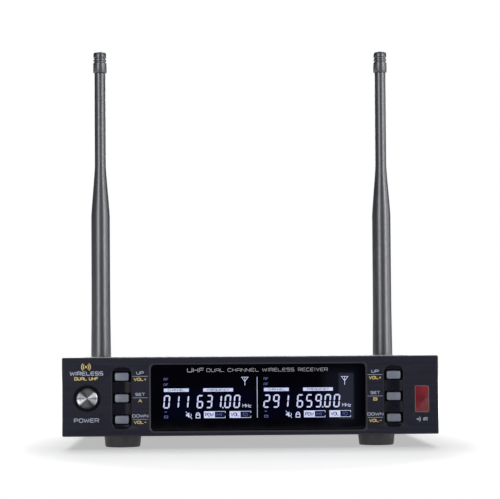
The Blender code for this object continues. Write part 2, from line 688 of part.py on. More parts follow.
def make_plug(side, jack, pivot):
    """The plug's sleeve inside the jack, its collar behind the ring, and the fork that holds the barrel."""
    sleeve = [(0, 0.0185), (0.0055, 0.0185), (0.0060, 0.0180), (0.0060, 0.0153), (0.0039, 0.0153)]
    sleeve += [(0.0039, 0.0120), (0.0038, 0.0060), (0.0021, 0.0060), (0.0021, 0.0140), (0, 0.0140)]
    plug = turned("antenna_plug_" + side, sleeve, jack, "antenna", "Y", ROUND)
    x, y, z = pivot
    arm = block("fork_arm_" + side, (x - 0.0058, y - 0.0080, z - 0.0055), (x + 0.0058, y, z + 0.0055))
    eye = rod("fork_eye_" + side, 0.0055, (x - 0.0058, y, z), 0.0116, None, "X", ROUND)
    slot = block("fork_slot_" + side, (x - 0.0028, y - 0.0055, z - 0.009), (x + 0.0028, y + 0.009, z + 0.009))
    bore = rod("fork_bore_" + side, 0.0018, (x - 0.010, y, z), 0.020, None, "X", SMALL)
    return cut(join(plug, arm, eye), slot, bore)


def make_hinge_pin(side, pivot):
    half = 0.0061
    head = 0.0008
    profile = [(0, half + head), (0.0022, half + head), (0.0026, half), (0.0015, half)]
    profile += [(r, -along) for r, along in reversed(profile)]
    return turned("hinge_pin_" + side, profile, pivot, "nickel", "X", SMALL)


def sleeve_outline():
    """(radius, height) points down the sleeve: the whip, a long cone, the barrel and its slow flare."""
    whip = 0.00373
    barrel = 0.00626
    cone_top = 0.1795
    cone_bottom = 0.1455
    steps = 8
    outline = [(whip, CAP_BOTTOM - GAP)]
    for step in range(steps + 1):
        share = step / steps
        blend = 0.75 * share + 0.25 * share * share * (3 - 2 * share)
        outline.append((whip + (barrel - whip) * blend, cone_top + (cone_bottom - cone_top) * share))
    flare = BARREL_FLARE_RADIUS
    return outline + [(0.0063, 0.100), (0.00636, 0.080), (0.0066, 0.061), (flare, 0.053)]


def make_sleeve(side, pivot):
    """The moulded sleeve from the hinge to the tip, in one piece, with a bore for the radiator."""
    x, y, z = pivot
    spigot = 0.0027
    bore = 0.0015
    foot = z + 0.0068
    profile = [(0, foot + 0.008), (bore, foot + 0.008), (bore, SLEEVE_TOP), (spigot, SLEEVE_TOP)]
    profile += [(spigot, CAP_BOTTOM - GAP)] + sleeve_outline()
    profile += [(BARREL_FLARE_RADIUS, foot + 0.0014), (BARREL_FLARE_RADIUS - 0.0009, foot), (0, foot)]
    profile = [(radius, height - z) for radius, height in profile]
    sleeve = turned("antenna_sleeve_" + side, profile, pivot, "antenna", "Z", FINE)
    tongue = block("tongue_" + side, (x - 0.0025, y - 0.0048, z), (x + 0.0025, y + 0.0048, z + 0.009))
    eye = rod("tongue_eye_" + side, 0.0048, (x - 0.0025, y, z), 0.0050, None, "X", ROUND)
    pin_hole = rod("tongue_bore_" + side, 0.0018, (x - 0.010, y, z), 0.020, None, "X", SMALL)
    return cut(join(sleeve, tongue, eye), pin_hole)


def make_radiator(side, pivot):
    """The conductor inside the sleeve."""
    x, y, z = pivot
    low = z + 0.0068 + 0.008 + GAP
    return rod("antenna_radiator_" + side, 0.0012, (x, y, low), SLEEVE_TOP - GAP - low, "brass", "Z", SMALL)


def make_tip_cap(side, pivot):
    """The end cap: a rounded top ring, a rib between two grooves, and a skirt over the sleeve's end."""
    top = ANTENNA_TOP - pivot[2]
    ring = 0.00445
    groove = 0.0040
    skirt = 0.0046
    bore = 0.0030
    drops = [(0, 0), (0.0030, 0), (0.0041, 0.0005), (ring, 0.0014), (ring, 0.0036), (groove, 0.0040)]
    drops += [(groove, 0.0048), (ring, 0.0052), (ring, 0.0060), (groove, 0.0064), (groove, 0.0072)]
    drops += [(skirt, 0.0076), (skirt, 0.0137), (0.0042, 0.0143), (bore, 0.0143), (bore, 0.0078), (0, 0.0078)]
    profile = [(radius, top - drop) for radius, drop in drops]
    return turned("antenna_tip_" + side, profile, pivot, "antenna", "Z", FINE)


make_front_panel()
make_display()
make_power_button()
make_ir_window()
make_control_board()
make_bottom_chassis()
make_top_cover()
make_rear_panel()
make_feet()
make_cover_screws()
make_main_board()
make_coax_leads()
make_ribbon_cable()
make_mix_jack()
make_dc_inlet()
for channel in SIDES:
    make_keypad(channel)
    make_xlr_output(channel)
    make_antenna_jack(channel)
    make_antenna(channel)
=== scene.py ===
"""The wireless receiver's looks on its CAD frame: finishes, printing, display, light and camera."""

import json
import math

import bmesh
import bpy
from mathutils import Matrix, Vector


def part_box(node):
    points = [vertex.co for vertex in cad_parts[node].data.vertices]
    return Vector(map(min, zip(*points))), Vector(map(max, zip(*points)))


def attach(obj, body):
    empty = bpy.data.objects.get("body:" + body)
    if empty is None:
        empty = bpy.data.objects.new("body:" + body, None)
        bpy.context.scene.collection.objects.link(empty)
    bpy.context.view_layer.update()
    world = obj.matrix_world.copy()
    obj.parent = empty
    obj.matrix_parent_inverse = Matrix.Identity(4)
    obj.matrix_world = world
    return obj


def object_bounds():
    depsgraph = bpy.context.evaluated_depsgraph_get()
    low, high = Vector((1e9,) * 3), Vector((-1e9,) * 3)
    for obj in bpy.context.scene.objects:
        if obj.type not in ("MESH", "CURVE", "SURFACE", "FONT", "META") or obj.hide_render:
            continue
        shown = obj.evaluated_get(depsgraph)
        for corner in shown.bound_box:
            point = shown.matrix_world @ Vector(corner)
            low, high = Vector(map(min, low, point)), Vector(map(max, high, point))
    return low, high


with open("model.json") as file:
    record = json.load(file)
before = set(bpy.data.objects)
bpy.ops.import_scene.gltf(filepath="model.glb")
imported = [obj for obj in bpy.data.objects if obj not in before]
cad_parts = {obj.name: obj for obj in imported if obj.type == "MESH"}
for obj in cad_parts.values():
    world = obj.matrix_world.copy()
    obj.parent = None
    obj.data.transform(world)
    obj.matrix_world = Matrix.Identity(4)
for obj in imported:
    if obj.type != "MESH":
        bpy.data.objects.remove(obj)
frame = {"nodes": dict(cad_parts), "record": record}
NODES = frame["nodes"]
CAD_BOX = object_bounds()

MM = 0.001
MICRON = 0.000001
SIDES = ("a", "b")


def middle(node):
    low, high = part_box(node)
    return (low + high) / 2


FACE_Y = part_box("front_panel")[0].y
WINDOW_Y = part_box("display_window")[0].y
WINDOW = middle("display_window")
REAR_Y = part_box("rear_panel")[1].y


# ---------------------------------------------------------------- camera, light and floor

CAMERA_DISTANCE = 0.930
CAMERA_X = -0.0277
CAMERA_HEIGHT = 0.0573
CAMERA_LENS = 118.9
CAMERA_YAW = math.radians(1.70)
CAMERA_PITCH = math.radians(1.67)
CAMERA_ROLL = math.radians(-0.40)
CAMERA_SHIFT = (0.0, 0.096)


def make_camera():
    lens = bpy.data.cameras.new("camera")
    lens.lens = CAMERA_LENS
    lens.sensor_width = 36
    lens.shift_x, lens.shift_y = CAMERA_SHIFT
    lens.clip_start = 0.02
    lens.clip_end = 50
    camera = bpy.data.objects.new("camera", lens)
    bpy.context.scene.collection.objects.link(camera)
    look = Matrix.Rotation(-CAMERA_YAW, 4, "Z") @ Matrix.Rotation(math.pi / 2 + CAMERA_PITCH, 4, "X")
    roll = Matrix.Rotation(CAMERA_ROLL, 4, "Z")
    place = Matrix.Translation((CAMERA_X, FACE_Y - CAMERA_DISTANCE, CAMERA_HEIGHT))
    camera.matrix_world = place @ look @ roll
    bpy.context.scene.camera = camera


def area_light(name, place, aim, width, height, power):
    lamp = bpy.data.lights.new(name, "AREA")
    lamp.shape = "RECTANGLE"
    lamp.size = width
    lamp.size_y = height
    lamp.energy = power
    light = bpy.data.objects.new(name, lamp)
    bpy.context.scene.collection.objects.link(light)
    light.location = place
    light.rotation_euler = (Vector(aim) - Vector(place)).to_track_quat("-Z", "Y").to_euler()
    return light


# Each light's place, the point that it aims at, its width, height and power.
FRONT_LIGHTS = {
    "strip_left": ((-0.84, -1.38, 0.42), (0, 0, 0.12), 0.50, 1.4, 26),
    "strip_right": ((1.33, -0.95, 0.42), (0, 0, 0.12), 0.50, 1.4, 30),
    "side_right": ((1.6, 0.0, 0.30), (0, 0, 0.05), 0.8, 0.8, 7),
}
BACK_LIGHTS = {
    "overhead": ((0, 0.50, 1.5), (0, 0, 0), 1.8, 1.6, 11),
    "rear_high": ((0, 1.30, 1.20), (0, 0, 0), 1.2, 1.2, 12),
    "rear_low": ((0, 1.70, 0.75), (0, 0, 0), 1.2, 0.6, 17),
}


def make_lights(floor):
    """Strips that shape the antennas and the front, kept off the floor, and soft light from behind."""
    unlit = bpy.data.collections.new("not_lit_from_the_front")
    unlit.objects.link(floor)
    unlit.collection_objects[0].light_linking.link_state = "EXCLUDE"
    for name, values in FRONT_LIGHTS.items():
        area_light(name, *values).light_linking.receiver_collection = unlit
    for name, values in BACK_LIGHTS.items():
        area_light(name, *values)


ROOM_STRENGTH = 0.08


def make_world():
    """White to the eye, but a dim room to what the surfaces reflect."""
    world = bpy.data.worlds.new("studio")
    bpy.context.scene.world = world
    world.use_nodes = True
    tree = world.node_tree
    tree.nodes.clear()
    out = tree.nodes.new("ShaderNodeOutputWorld")
    mix = tree.nodes.new("ShaderNodeMixShader")
    path = tree.nodes.new("ShaderNodeLightPath")
    room = tree.nodes.new("ShaderNodeBackground")
    white = tree.nodes.new("ShaderNodeBackground")
    room.inputs["Color"].default_value = (0.85, 0.92, 1.0, 1)
    room.inputs["Strength"].default_value = ROOM_STRENGTH
    white.inputs["Strength"].default_value = 1.0
    white.inputs["Color"].default_value = (1, 1, 1, 1)
    tree.links.new(path.outputs["Is Camera Ray"], mix.inputs["Fac"])
    tree.links.new(room.outputs[0], mix.inputs[1])
    tree.links.new(white.outputs[0], mix.inputs[2])
    tree.links.new(mix.outputs[0], out.inputs["Surface"])


# How far the floor runs before the panel and to its other sides, and its own light near the object,
# which rises to full white between two distances from the middle. Distances across count double.
# The lower light near the object is partly painted shade round it, under the real shadows of the lamps.
FLOOR_FRONT = 0.22
FLOOR_REACH = 3.0
PAINTED_SHADE_GLOW = 0.46
GLOW_NEAR = 0.26
GLOW_FAR = 0.42


def make_floor():
    """A pale table whose own light is lower near the object, a painted shade round it, and which lightens
    into the white backdrop away from it.
    """
    shape = bmesh.new()
    bmesh.ops.create_grid(shape, x_segments=2, y_segments=2, size=1.0)
    mesh = bpy.data.meshes.new("floor")
    shape.to_mesh(mesh)
    shape.free()
    floor = bpy.data.objects.new("floor", mesh)
    bpy.context.scene.collection.objects.link(floor)
    front = FACE_Y - FLOOR_FRONT
    floor.scale = (FLOOR_REACH, (FLOOR_REACH - front) / 2, 1)
    floor.location = (0, (FLOOR_REACH + front) / 2, CAD_BOX[0][2] - 0.2 * MM)
    paint = Paint("pale_floor", (0.80, 0.80, 0.80), 0.9)
    paint.set("Specular IOR Level", 0.0)
    paint.set("Emission Color", (1, 1, 1, 1))
    geometry = paint.tree.nodes.new("ShaderNodeNewGeometry")
    oval = paint.tree.nodes.new("ShaderNodeVectorMath")
    oval.operation = "MULTIPLY"
    oval.inputs[1].default_value = (2.0, 1.0, 1.0)
    paint.link(geometry.outputs["Position"], oval.inputs[0])
    distance = paint.tree.nodes.new("ShaderNodeVectorMath")
    distance.operation = "LENGTH"
    paint.link(oval.outputs["Vector"], distance.inputs[0])
    # Painted shade: the floor's own light is lowest near the object and rises to full white away from it.
    glow = paint.to_range(distance.outputs["Value"], PAINTED_SHADE_GLOW, 1.0, GLOW_NEAR, GLOW_FAR)
    paint.link(glow, paint.shader.inputs["Emission Strength"])
    floor.data.materials.append(paint.material)
    return floor


# ---------------------------------------------------------------- materials


class Paint:
    """A node material, with short calls for the nodes that the finishes share."""

    def __init__(self, name, colour, roughness, metallic=0.0):
        self.material = bpy.data.materials.new(name)
        self.material.use_nodes = True
        self.tree = self.material.node_tree
        self.shader = self.tree.nodes["Principled BSDF"]
        self.place = self.tree.nodes.new("ShaderNodeTexCoord").outputs["Object"]
        self.colour = (*colour, 1)
        self.set("Base Color", self.colour)
        self.set("Roughness", roughness)
        self.set("Metallic", metallic)

    def set(self, socket, value):
        self.shader.inputs[socket].default_value = value

    def link(self, start, end):
        self.tree.links.new(start, end)

    def moved(self, centre, scale=(1, 1, 1)):
        """Object coordinates measured from a centre, times a scale along each axis."""
        mapping = self.tree.nodes.new("ShaderNodeMapping")
        mapping.inputs["Location"].default_value = [-place * size for place, size in zip(centre, scale)]
        mapping.inputs["Scale"].default_value = scale
        self.link(self.place, mapping.inputs["Vector"])
        return mapping.outputs["Vector"]

    def axes(self, vector):
        node = self.tree.nodes.new("ShaderNodeSeparateXYZ")
        self.link(vector, node.inputs[0])
        return node.outputs

    def noise(self, scale, detail=3.0, stretch=(1, 1, 1), roughness=0.5):
        """Noise of about this many cells a metre along each axis."""
        noise = self.tree.nodes.new("ShaderNodeTexNoise")
        noise.inputs["Scale"].default_value = 1.0
        noise.inputs["Detail"].default_value = detail
        noise.inputs["Roughness"].default_value = roughness
        self.link(self.moved((0, 0, 0), [scale * axis for axis in stretch]), noise.inputs["Vector"])
        return noise.outputs["Fac"]

    def to_range(self, value, low, high, low_in=0.3, high_in=0.7, soft=False):
        node = self.tree.nodes.new("ShaderNodeMapRange")
        node.interpolation_type = "SMOOTHSTEP" if soft else "LINEAR"
        node.inputs["From Min"].default_value = low_in
        node.inputs["From Max"].default_value = high_in
        node.inputs["To Min"].default_value = low
        node.inputs["To Max"].default_value = high
        self.link(value, node.inputs["Value"])
        return node.outputs["Result"]

    def math(self, operation, first, second=0.0):
        node = self.tree.nodes.new("ShaderNodeMath")
        node.operation = operation
        for socket, value in zip(node.inputs, (first, second)):
            if isinstance(value, (int, float)):
                socket.default_value = value
            else:
                self.link(value, socket)
        return node.outputs[0]

    def blend(self, factor, first, second):
        """A colour between two, each a plain colour or a node's output."""
        mix = self.tree.nodes.new("ShaderNodeMix")
        mix.data_type = "RGBA"
        self.link(factor, mix.inputs["Factor"])
        for socket, colour in (("A", first), ("B", second)):
            if isinstance(colour, (tuple, list)):
                mix.inputs[socket].default_value = (*colour[:3], 1)
            else:
                self.link(colour, mix.inputs[socket])
        return mix.outputs["Result"]

    def tint(self, value, low, high):
        """Base colour that goes from low to high times the paint's own colour as the value rises."""
        dark = [channel * low for channel in self.colour[:3]]
        light = [channel * high for channel in self.colour[:3]]
        colour = self.blend(self.to_range(value, 0, 1), dark, light)
        self.link(colour, self.shader.inputs["Base Color"])
        return colour

    def roughen(self, value, low, high):
        self.link(self.to_range(value, low, high), self.shader.inputs["Roughness"])

    def bump(self, *layers):
        """Bump from (value, height in metres) layers."""
        normal = None
        for value, height in layers:
            node = self.tree.nodes.new("ShaderNodeBump")
            node.inputs["Strength"].default_value = 1.0
            node.inputs["Distance"].default_value = height
            self.link(value, node.inputs["Height"])
            if normal is not None:
                self.link(normal, node.inputs["Normal"])
            normal = node.outputs["Normal"]
        self.link(normal, self.shader.inputs["Normal"])

    def soft_box(self, centre, half_x, half_z, edge):
        """1 inside an upright rectangle about a centre, falling to 0 over its edge."""
        x, _, z = self.axes(self.moved(centre))
        inside = []
        for value, half in ((x, half_x), (z, half_z)):
            away = self.math("ABSOLUTE", value)
            inside.append(self.to_range(away, 1, 0, half - edge / 2, half + edge / 2, True))
        return self.math("MULTIPLY", *inside)


def brushed_panel():
    paint = Paint("brushed_panel", (0.0060, 0.0062, 0.0125), 0.5, 0.2)
    paint.set("Specular IOR Level", 0.15)
    fine = paint.noise(1000, 3, (0.012, 1, 3.2), 0.7)
    broad = paint.noise(1000, 2, (0.004, 0.6, 0.7))
    both = paint.math("ADD", paint.math("MULTIPLY", fine, 0.65), paint.math("MULTIPLY", broad, 0.35))
    flat = paint.tint(both, 0.45, 1.65)
    # Painted highlight: faces turned away from the front, the chamfers and cut edges of the openings, get a
    # lighter base colour for the light that they catch.
    facing = paint.axes(paint.tree.nodes.new("ShaderNodeNewGeometry").outputs["True Normal"])
    edge = paint.to_range(paint.math("ABSOLUTE", facing[1]), 1, 0, 0.75, 0.9)
    lit = paint.blend(edge, flat, (0.028, 0.028, 0.036))
    paint.link(lit, paint.shader.inputs["Base Color"])
    paint.roughen(fine, 0.44, 0.62)
    paint.bump((fine, 10 * MICRON))
    return paint


def smoked_window():
    """Near-black acrylic: the lit display shows as blue round its figures and as grey at one end."""
    paint = Paint("smoked_window", (0.0003, 0.0003, 0.0008), 0.06)
    paint.set("Specular IOR Level", 0.12)
    paint.roughen(paint.noise(120, 2), 0.04, 0.09)
    blue = None
    for sign in (-1, 1):
        centre = WINDOW + Vector((sign * 28 * MM - 0.5 * MM, 0, -3.1 * MM))
        zone = paint.soft_box(centre, 25.4 * MM, 8.4 * MM, 5.0 * MM)
        blue = zone if blue is None else paint.math("MAXIMUM", blue, zone)
    grey = paint.soft_box(WINDOW + Vector((49.5 * MM, 0, 0.4 * MM)), 4.2 * MM, 12.9 * MM, 1.2 * MM)
    haze = paint.soft_box(WINDOW + Vector((46.0 * MM, 0, 0)), 9.0 * MM, 15.5 * MM, 9.0 * MM)
    glow = paint.blend(blue, (0.0, 0.0, 0.0006), (0.0002, 0.0003, 0.005))
    glow = paint.blend(paint.math("MULTIPLY", haze, 0.25), glow, (0.018, 0.020, 0.032))
    glow = paint.blend(paint.math("MULTIPLY", grey, 0.9), glow, (0.021, 0.023, 0.036))
    paint.link(glow, paint.shader.inputs["Emission Color"])
    paint.set("Emission Strength", 1.0)
    return paint


def black_plastic():
    paint = Paint("black_plastic", (0.0045, 0.0045, 0.0075), 0.22)
    paint.set("Specular IOR Level", 0.03)
    grain = paint.noise(2600, 2)
    paint.tint(paint.noise(300, 3), 0.8, 1.25)
    paint.roughen(grain, 0.18, 0.28)
    paint.bump((grain, 6 * MICRON))
    return paint


def grey_button():
    paint = Paint("grey_button", (0.076, 0.086, 0.111), 0.45)
    grain = paint.noise(3200, 2)
    paint.tint(paint.noise(420, 3), 0.90, 1.10)
    paint.roughen(grain, 0.40, 0.54)
    paint.bump((grain, 6 * MICRON))
    return paint


def spun_aluminium():
    """Turned metal: fine rings about the power button's axis with anisotropic shading round them, and a
    bow-tie sheen also painted into the base colour by angle.
    """
    paint = Paint("spun_aluminium", (0.80, 0.82, 0.88), 0.30, 1.0)
    around = paint.moved(middle("power_button"), (1, 0, 1))
    radius = paint.tree.nodes.new("ShaderNodeVectorMath")
    radius.operation = "LENGTH"
    paint.link(around, radius.inputs[0])
    rings = paint.tree.nodes.new("ShaderNodeTexNoise")
    rings.noise_dimensions = "1D"
    rings.inputs["Scale"].default_value = 1.0
    rings.inputs["Detail"].default_value = 3.0
    paint.link(paint.math("MULTIPLY", radius.outputs["Value"], 9000), rings.inputs["W"])
    # Painted highlight: the base colour is bright in wedges to the left and right of the axis, split by a
    # thin dark line along the middle of each, and dark above and below, a bow-tie reflection painted by
    # angle about the axis.
    x, _, z = paint.axes(around)
    across = paint.math("ADD", paint.math("ABSOLUTE", x), 0.00001)
    slope = paint.math("ABSOLUTE", paint.math("DIVIDE", z, across))
    painted_highlight_wedge = paint.to_range(slope, 1, 0, 0.35, 1.15, True)
    painted_highlight_split = paint.to_range(slope, 0.35, 1, 0.03, 0.16, True)
    painted_sheen = paint.math("ADD", paint.math("MULTIPLY", paint.math("MULTIPLY", painted_highlight_wedge, painted_highlight_split), 0.90), 0.08)
    shade = paint.math("MULTIPLY", painted_sheen, paint.to_range(rings.outputs["Fac"], 0.82, 1.12))
    colour = paint.blend(shade, (0, 0, 0), paint.colour)
    paint.link(colour, paint.shader.inputs["Base Color"])
    paint.roughen(rings.outputs["Fac"], 0.24, 0.40)
    paint.bump((rings.outputs["Fac"], 8 * MICRON))
    tangent = paint.tree.nodes.new("ShaderNodeTangent")
    tangent.direction_type = "RADIAL"
    tangent.axis = "Y"
    paint.set("Anisotropic", 0.8)
    paint.link(tangent.outputs["Tangent"], paint.shader.inputs["Tangent"])
    return paint


def infrared_filter():
    paint = Paint("infrared_filter", (0.095, 0.009, 0.013), 0.16)
    paint.set("Specular IOR Level", 0.35)
    paint.tint(paint.noise(260, 3), 0.62, 1.3)
    paint.roughen(paint.noise(900, 2), 0.14, 0.24)
    return paint


def powder_coat():
    paint = Paint("painted_steel", (0.018, 0.018, 0.021), 0.55)
    peel = paint.noise(1500, 2)
    speck = paint.noise(4200, 1)
    paint.tint(paint.noise(260, 4), 0.8, 1.25)
    paint.roughen(peel, 0.46, 0.64)
    paint.bump((peel, 40 * MICRON), (speck, 15 * MICRON))
    return paint


def foot_rubber():
    paint = Paint("foot_rubber", (0.014, 0.013, 0.016), 0.50)
    paint.set("Specular IOR Level", 0.7)
    grain = paint.noise(2400, 3)
    paint.tint(paint.noise(380, 4), 0.75, 1.3)
    paint.roughen(grain, 0.42, 0.58)
    paint.bump((grain, 15 * MICRON))
    return paint


def antenna_plastic():
    paint = Paint("antenna_plastic", (0.016, 0.018, 0.024), 0.36)
    paint.set("Specular IOR Level", 0.8)
    grain = paint.noise(2200, 3)
    paint.tint(paint.noise(150, 4, (1, 1, 0.4)), 0.85, 1.18)
    paint.roughen(grain, 0.33, 0.43)
    paint.bump((grain, 5 * MICRON))
    return paint


def plated_metal(name, colour, roughness):
    paint = Paint(name, colour, roughness, 1.0)
    paint.tint(paint.noise(350, 4), 0.88, 1.08)
    paint.roughen(paint.noise(1800, 3), roughness * 0.75, roughness * 1.4)
    paint.bump((paint.noise(2600, 2), 3 * MICRON))
    return paint


def circuit_board():
    paint = Paint("circuit_board", (0.012, 0.10, 0.04), 0.4)
    paint.tint(paint.noise(900, 2), 0.7, 1.3)
    paint.bump((paint.noise(700, 2), 20 * MICRON))
    return paint


def simple_plastic(name, colour, roughness):
    paint = Paint(name, colour, roughness)
    paint.tint(paint.noise(500, 3), 0.9, 1.1)
    paint.roughen(paint.noise(1500, 2), roughness * 0.85, roughness * 1.15)
    return paint


def light_paint(name, colour, strength):
    """The display's lit figures and boxes: a dark surface with light of its own."""
    paint = Paint(name, (0.002, 0.002, 0.002), 0.4)
    paint.set("Specular IOR Level", 0.05)
    even = paint.noise(260, 2)
    shade = paint.blend(paint.to_range(even, 0, 1), [channel * 0.86 for channel in colour], colour)
    paint.link(shade, paint.shader.inputs["Emission Color"])
    paint.set("Emission Strength", strength)
    return paint


WELD_DISTANCE = 0.01 * MM
SHARP_EDGE = math.radians(38)


def smooth_shading():
    """Joins the corners that a triangle mesh splits, and shades smoothly across all but sharp edges."""
    group = bpy.data.node_groups.new("smooth_shading", "GeometryNodeTree")
    group.interface.new_socket(name="Geometry", in_out="INPUT", socket_type="NodeSocketGeometry")
    group.interface.new_socket(name="Geometry", in_out="OUTPUT", socket_type="NodeSocketGeometry")
    merge = group.nodes.new("GeometryNodeMergeByDistance")
    merge.inputs["Distance"].default_value = WELD_DISTANCE
    faces = group.nodes.new("GeometryNodeSetShadeSmooth")
    faces.domain = "FACE"
    edges = group.nodes.new("GeometryNodeSetShadeSmooth")
    edges.domain = "EDGE"
    angle = group.nodes.new("GeometryNodeInputMeshEdgeAngle")
    gentle = group.nodes.new("FunctionNodeCompare")
    gentle.operation = "LESS_THAN"
    gentle.inputs["B"].default_value = SHARP_EDGE
    group.links.new(angle.outputs["Unsigned Angle"], gentle.inputs["A"])
    group.links.new(gentle.outputs["Result"], edges.inputs["Shade Smooth"])
    chain = [group.nodes.new("NodeGroupInput"), merge, faces, edges, group.nodes.new("NodeGroupOutput")]
    for first, second in zip(chain, chain[1:]):
        group.links.new(first.outputs[0], second.inputs[0])
    return group


def paint_frame():
    """Gives each CAD node the finish of its slot, and smooth shading."""
    paints = {
        "brushed_panel": brushed_panel(),
        "smoked_window": smoked_window(),
        "black_plastic": black_plastic(),
        "grey_button": grey_button(),
        "spun_aluminium": spun_aluminium(),
        "infrared_filter": infrared_filter(),
        "painted_steel": powder_coat(),
        "foot_rubber": foot_rubber(),
        "antenna_plastic": antenna_plastic(),
        "black_screw": plated_metal("black_screw", (0.05, 0.05, 0.052), 0.32),
        "nickel_plate": plated_metal("nickel_plate", (0.64, 0.62, 0.58), 0.20),
        "radiator_brass": plated_metal("radiator_brass", (0.55, 0.36, 0.13), 0.35),
        "circuit_board": circuit_board(),
        "tinned_shield": plated_metal("tinned_shield", (0.55, 0.56, 0.57), 0.3),
        "lcd_glass": simple_plastic("lcd_glass", (0.01, 0.012, 0.03), 0.1),
        "backlight_diffuser": simple_plastic("backlight_diffuser", (0.8, 0.82, 0.85), 0.5),
        "cable_sheath": simple_plastic("cable_sheath", (0.02, 0.02, 0.02), 0.5),
        "panel_print": simple_plastic("panel_print", (0.21, 0.235, 0.30), 0.5),
        "gold_print": simple_plastic("gold_print", (0.36, 0.27, 0.085), 0.45),
        "lit_figures": light_paint("lit_figures", (0.66, 0.72, 1.0), 1.0),
        "dim_figures": light_paint("dim_figures", (0.13, 0.13, 0.38), 1.0),
        "value_box": light_paint("value_box", (0.001, 0.003, 0.035), 1.0),
        "window_print": simple_plastic("window_print", (0.175, 0.175, 0.185), 0.5),
        # The pale frame round the infrared lens: a painted highlight.
        "painted_rim_highlight": simple_plastic("painted_rim_highlight", (0.07, 0.045, 0.05), 0.5),
    }
    shading = smooth_shading()
    for subpart in frame["record"]["subparts"]:
        node = NODES[subpart["node"]]
        node.data.materials.clear()
        node.data.materials.append(paints[subpart["material_slot"]].material)
        node.modifiers.new("smooth_shading", "NODES").node_group = shading
    return paints


# ---------------------------------------------------------------- printing and display figures

INK = 0.04 * MM
SAME_PLACE = 1e-7
MITRE_LIMIT = 0.5

# Strokes that several letters share, in a box one unit wide and high.
LOOP = [(0.5, 0), (0.2, 0), (0, 0.2), (0, 0.8), (0.2, 1), (0.8, 1), (1, 0.8), (1, 0.2), (0.8, 0), (0.5, 0)]
OPEN_LOOP = [(1, 1), (0.2, 1), (0, 0.8), (0, 0.2), (0.2, 0), (1, 0)]
BOWL = [(0, 0), (0, 1), (0.8, 1), (1, 0.85), (1, 0.58), (0.8, 0.42), (0, 0.42)]

# Wide single-line capitals with a few figures and signs, a small z, and a pointed A under "a".
GLYPHS = {
    "A": [[(0, 0), (0, 0.75), (0.25, 1), (0.75, 1), (1, 0.75), (1, 0)], [(0, 0.4), (1, 0.4)]],
    "a": [[(0, 0), (0.5, 1), (1, 0)], [(0.22, 0.35), (0.78, 0.35)]],
    "B": [
        [(0, 0), (0, 1), (0.8, 1), (1, 0.85), (1, 0.65), (0.85, 0.52)]
        + [(1, 0.38), (1, 0.15), (0.8, 0), (0, 0)],
        [(0, 0.52), (0.85, 0.52)],
    ],
    "C": [OPEN_LOOP],
    "D": [[(0, 0), (0, 1), (0.75, 1), (1, 0.8), (1, 0.2), (0.75, 0), (0, 0)]],
    "E": [OPEN_LOOP, [(0, 0.5), (0.85, 0.5)]],
    "F": [[(0, 0), (0, 0.8), (0.2, 1), (1, 1)], [(0, 0.5), (0.85, 0.5)]],
    "H": [[(0, 0), (0, 1)], [(1, 0), (1, 1)], [(0, 0.5), (1, 0.5)]],
    "I": [[(0.5, 0), (0.5, 1)]],
    "L": [[(0, 1), (0, 0.2), (0.2, 0), (1, 0)]],
    "M": [[(0, 0), (0, 1), (0.5, 0.45), (1, 1), (1, 0)]],
    "N": [[(0, 0), (0, 1), (1, 0), (1, 1)]],
    "O": [LOOP],
    "P": [BOWL],
    "Q": [LOOP, [(0.6, 0.3), (1, -0.1)]],
    "R": [BOWL, [(0.5, 0.42), (1, 0)]],
    "S": [
        [(1, 1), (0.2, 1), (0, 0.85), (0, 0.66), (0.2, 0.52), (0.8, 0.52)]
        + [(1, 0.38), (1, 0.16), (0.8, 0), (0, 0)],
    ],
    "T": [[(0, 1), (1, 1)], [(0.5, 1), (0.5, 0)]],
    "U": [[(0, 1), (0, 0.2), (0.2, 0), (0.8, 0), (1, 0.2), (1, 1)]],
    "V": [[(0, 1), (0.5, 0), (1, 1)]],
    "W": [[(0, 1), (0.22, 0), (0.5, 0.8), (0.78, 0), (1, 1)]],
    "X": [[(0, 1), (1, 0)], [(0, 0), (1, 1)]],
    "Y": [[(0, 1), (0.5, 0.45), (1, 1)], [(0.5, 0.45), (0.5, 0)]],
    "z": [[(0, 0.62), (1, 0.62), (0, 0), (1, 0)]],
    "0": [LOOP],
    "1": [[(0, 0.75), (0.6, 1), (0.6, 0)]],
    "2": [[(0, 1), (0.8, 1), (1, 0.85), (1, 0.66), (0.8, 0.52), (0.2, 0.48), (0, 0.32), (0, 0), (1, 0)]],
    "+": [[(0.05, 0.5), (0.95, 0.5)], [(0.5, 0.1), (0.5, 0.9)]],
    "-": [[(0.05, 0.5), (0.95, 0.5)]],
}
# The widths that differ from one.
GLYPH_WIDTHS = {"I": 0.3, "1": 0.5, "M": 1.2, "W": 1.3, " ": 0.5, "+": 0.8, "-": 0.8, "z": 0.8}


